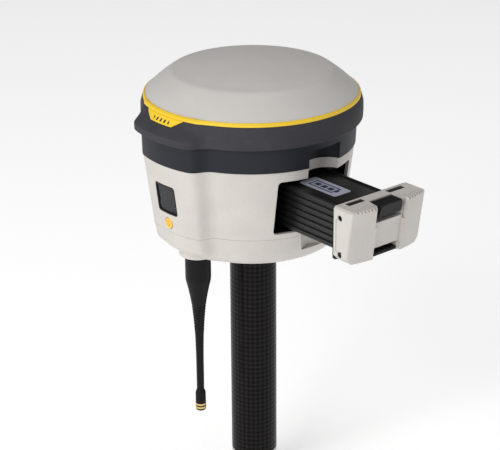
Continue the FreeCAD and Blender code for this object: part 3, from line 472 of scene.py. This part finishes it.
def body_of(node):
    """The name of the body that carries a CAD node."""
    carrier = frame["nodes"][node].parent
    return next(name for name, body in frame["bodies"].items() if body == carrier)


def slot_of(node):
    """The material slot that the record gives a node."""
    return next(part["material_slot"] for part in frame["record"]["subparts"] if part["node"] == node)


def turned(outline, x, y, vertices=64):
    """A closed body of revolution, extruded ring by ring through (radius, z) in millimetres."""
    radius, z = outline[0]
    bpy.ops.object.select_all(action="DESELECT")
    bpy.ops.mesh.primitive_circle_add(vertices=vertices, radius=radius * MM, fill_type="NGON",
                                      location=(x * MM, y * MM, z * MM))
    made = bpy.context.object
    bpy.ops.object.mode_set(mode="EDIT")
    bpy.ops.mesh.select_all(action="SELECT")
    for next_radius, next_z in outline[1:]:
        bpy.ops.mesh.extrude_region_move(TRANSFORM_OT_translate={"value": (0, 0, (next_z - z) * MM)})
        ratio = next_radius / radius
        bpy.ops.transform.resize(value=(ratio, ratio, 1), center_override=(x * MM, y * MM, next_z * MM))
        radius, z = next_radius, next_z
    bpy.ops.object.mode_set(mode="OBJECT")
    return made


def between(table, depth):
    """Straight-line interpolation in a table of (depth, value)."""
    for (low, first), (high, second) in zip(table, table[1:]):
        if depth <= high:
            return first + (second - first) * (depth - low) / (high - low)
    return table[-1][1]


# ---- operators ----------------------------------------------------------------------------
class RECEIVER_OT_finishes(bpy.types.Operator):
    """Gives every part of the frame its own procedural finish"""

    bl_idname = "receiver.finishes"
    bl_label = "Finishes"

    def execute(self, context):
        made = finishes(context.scene.receiver_colours)
        MADE.update(made)
        for part in frame["record"]["subparts"]:
            node = frame["nodes"][part["node"]]
            node.data.materials.clear()
            node.data.materials.append(made[NODE_FINISH.get(part["node"], part["material_slot"])])
        return {"FINISHED"}


class RECEIVER_OT_shells(bpy.types.Operator):
    """Softens the edges of the moulded shells on merged copies of their meshes"""

    bl_idname = "receiver.shells"
    bl_label = "Shells"

    def execute(self, context):
        for node, width in SOFT_EDGES:
            self.soften(node, width)
        return {"FINISHED"}

    def soften(self, node, width):
        source = frame["nodes"][node]
        only(source)
        bpy.ops.object.duplicate()
        copy = bpy.context.object
        bpy.ops.mesh.customdata_custom_splitnormals_clear()
        bpy.ops.object.mode_set(mode="EDIT")
        bpy.ops.mesh.select_all(action="SELECT")
        bpy.ops.mesh.remove_doubles(threshold=0.00002)
        bpy.ops.mesh.dissolve_limited(angle_limit=math.radians(0.6))
        bpy.ops.object.mode_set(mode="OBJECT")
        bevel = copy.modifiers.new("edges", "BEVEL")
        bevel.width = width * MM
        bevel.segments = 2
        bevel.limit_method = "ANGLE"
        bevel.angle_limit = math.radians(40)
        bevel.use_clamp_overlap = True
        bpy.ops.object.modifier_apply(modifier="edges")
        settle(copy, node + "_soft", body_of(node), slot_of(node), node)
        weighted = copy.modifiers.new("normals", "WEIGHTED_NORMAL")
        weighted.keep_sharp = True
        weighted.weight = 80
        bpy.ops.object.modifier_apply(modifier="normals")


class RECEIVER_OT_whip(bpy.types.Operator):
    """Turns the whip's tapered rubber sleeve with the fine ribs on its neck"""

    bl_idname = "receiver.whip"
    bl_label = "Whip sleeve"

    def execute(self, context):
        taper = ((0.3, 8.0), (1.2, 8.3), (15.5, 8.3), (18.0, 8.1), (20.5, 7.5), (23.0, 6.9), (26.0, 6.3),
                 (29.5, 5.6), (33.0, 5.0), (37.0, 4.5), (41.0, 4.1), (48.0, 3.5), (58.0, 2.8),
                 (72.0, 2.5), (97.2, 2.4), (98.6, 3.2), (100.0, 3.38), (102.15, 3.38))
        ribs_start, ribs_end, pitch = 35.0, 52.0, 2.0
        depths = [0.3, 0.6, 1.2]
        while depths[-1] < taper[-1][0] - 0.01:
            ribbed = ribs_start <= depths[-1] < ribs_end
            depths.append(min(depths[-1] + (0.25 if ribbed else 1.2), taper[-1][0]))
        outline = []
        for depth in depths:
            radius = between(taper, depth)
            if ribs_start < depth < ribs_end:
                wave = math.cos((depth - ribs_start) / pitch * 2 * math.pi)
                radius -= 0.17 * max(0.0, 0.5 - wave)
            outline.append((radius, WHIP_TOP - depth))
        sleeve = turned(outline, 0.0, WHIP_Y)
        settle(sleeve, "whip_sleeve_ribbed", "whip", "whip_rubber", "whip_sleeve")
        return {"FINISHED"}


class RECEIVER_OT_springs(bpy.types.Operator):
    """Winds the two coil springs behind each latch, as rigid coils that ride on the body carrying each
    spring
    """

    bl_idname = "receiver.springs"
    bl_label = "Latch springs"

    def execute(self, context):
        for node, joint in (("upper_latch_springs", "upper_latch_press"),
                            ("lower_latch_springs", "lower_latch_press")):
            low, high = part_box(node)
            half = SPRING_R * MM
            coil = self.coil(low.x + half, low.y + half, low.z, high.z)
            only(coil)
            aside = (0, high.y - low.y - 2 * half, 0)
            bpy.ops.object.duplicate_move(TRANSFORM_OT_translate={"value": aside})
            coil.select_set(True)
            bpy.ops.object.join()
            pair = bpy.context.object
            settle(pair, node + "_coils", body_of(node), slot_of(node), node)
            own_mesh(pair)
        return {"FINISHED"}

    def coil(self, x, y, low, high):
        wire = WIRE_R * MM
        reach = (SPRING_R - 0.25) * MM
        bpy.ops.object.select_all(action="DESELECT")
        bpy.ops.mesh.primitive_circle_add(vertices=8, radius=wire, location=(x + reach, y, low + wire),
                                          rotation=(math.pi / 2, 0, 0))
        made = bpy.context.object
        bpy.context.scene.cursor.location = (x, y, low)
        bpy.ops.object.transform_apply(location=False, rotation=True, scale=False)
        bpy.ops.object.origin_set(type="ORIGIN_CURSOR")
        screw = made.modifiers.new("coil", "SCREW")
        screw.axis = "Z"
        screw.iterations = SPRING_TURNS
        screw.screw_offset = (high - low - 2 * wire) / SPRING_TURNS
        screw.steps = 16
        screw.render_steps = 16
        bpy.ops.object.modifier_apply(modifier="coil")
        bpy.ops.object.mode_set(mode="EDIT")
        bpy.ops.mesh.select_all(action="SELECT")
        bpy.ops.mesh.remove_doubles(threshold=0.00001)
        bpy.ops.mesh.fill_holes(sides=8)
        bpy.ops.object.mode_set(mode="OBJECT")
        return made


def softbox(name, azimuth, elevation, distance, size, power, warmth=1.0):
    """A rectangular lamp that looks at the head from a side, at a height."""
    lamp = bpy.data.lights.new(name, "AREA")
    lamp.shape = "RECTANGLE"
    lamp.size, lamp.size_y = size
    lamp.energy = power
    lamp.color = (1.0, warmth, warmth * warmth)
    target = Vector((0, 0, 0.22))
    out = outward(math.radians(azimuth), math.radians(elevation))
    holder = bpy.data.objects.new(name, lamp)
    bpy.context.collection.objects.link(holder)
    holder.location = target + out * distance
    holder.rotation_mode = "QUATERNION"
    holder.rotation_quaternion = (-out).to_track_quat("-Z", "Y")


def outward(azimuth, elevation):
    """The direction from the object to a viewer, with azimuth counted from the front lobe."""
    level = math.cos(elevation)
    return Vector((math.sin(azimuth) * level, -math.cos(azimuth) * level, math.sin(elevation)))


class RECEIVER_OT_stage(bpy.types.Operator):
    """Makes the pale floor, the soft lights and the camera"""

    bl_idname = "receiver.stage"
    bl_label = "Stage"

    def execute(self, context):
        settings = context.scene.receiver_stage
        self.floor(settings)
        self.lights()
        self.camera(context, settings)
        return {"FINISHED"}

    def floor(self, settings):
        bpy.ops.object.select_all(action="DESELECT")
        bpy.ops.mesh.primitive_plane_add(size=settings.floor, location=(0, 0, CAD_BOX[0].z - 0.0002))
        floor = bpy.context.object
        floor.name = "floor"
        paper = Finish("floor_paper", Roughness=0.9, Specular_IOR_Level=0.1, Emission_Strength=0.42,
                       Emission_Color=(1.0, 1.0, 1.0, 1.0))
        paper.set("Base Color", paper.blend(paper.noise(3.0), (0.90, 0.90, 0.90), (0.93, 0.93, 0.93)))
        floor.data.materials.append(paper.material)

    def lights(self):
        world = bpy.data.worlds.new("studio_air")
        world.use_nodes = True
        background = world.node_tree.nodes["Background"]
        background.inputs["Color"].default_value = (1.0, 1.0, 1.0, 1.0)
        background.inputs["Strength"].default_value = 0.30
        bpy.context.scene.world = world
        softbox("key_light", 12, 26, 1.9, (1.2, 1.4), 22.0)
        softbox("fill_light", 128, 20, 2.2, (0.9, 1.4), 4.5)
        softbox("top_light", 0, 88, 1.8, (1.4, 1.4), 5.0)

    def camera(self, context, settings):
        lens = bpy.data.cameras.new("view")
        lens.lens = settings.lens
        lens.sensor_width = 36.0
        lens.clip_start = 0.05
        holder = bpy.data.objects.new("view", lens)
        context.collection.objects.link(holder)
        out = outward(settings.azimuth, settings.elevation)
        holder.location = Vector(settings.aim) + out * settings.distance
        holder.rotation_mode = "QUATERNION"
        look = (-out).to_track_quat("-Z", "Y")
        holder.rotation_quaternion = look @ Quaternion((0, 0, 1), settings.roll)
        context.scene.camera = holder
        context.scene.view_settings.view_transform = "Standard"


# ---- panel and registration ---------------------------------------------------------------
STEPS = (RECEIVER_OT_finishes, RECEIVER_OT_shells, RECEIVER_OT_whip, RECEIVER_OT_springs,
         RECEIVER_OT_stage)


class RECEIVER_PT_panel(bpy.types.Panel):
    """Lists the steps that dress the receiver and the values they use"""

    bl_label = "Receiver"
    bl_idname = "RECEIVER_PT_panel"
    bl_space_type = "VIEW_3D"
    bl_region_type = "UI"
    bl_category = "Receiver"

    def draw(self, context):
        column = self.layout.column()
        for group in (context.scene.receiver_colours, context.scene.receiver_stage):
            for name in group.bl_rna.properties.keys():
                if name not in ("rna_type", "name"):
                    column.prop(group, name)
        for step in STEPS:
            column.operator(step.bl_idname)


CLASSES = (ReceiverColours, ReceiverStage, *STEPS, RECEIVER_PT_panel)


def register():
    for entry in CLASSES:
        bpy.utils.register_class(entry)
    bpy.types.Scene.receiver_colours = PointerProperty(type=ReceiverColours)
    bpy.types.Scene.receiver_stage = PointerProperty(type=ReceiverStage)


def unregister():
    del bpy.types.Scene.receiver_stage
    del bpy.types.Scene.receiver_colours
    for entry in reversed(CLASSES):
        bpy.utils.unregister_class(entry)


def main():
    register()
    bpy.ops.receiver.finishes()
    bpy.ops.receiver.shells()
    bpy.ops.receiver.whip()
    bpy.ops.receiver.springs()
    bpy.ops.receiver.stage()


if __name__ == "__main__":
    main()
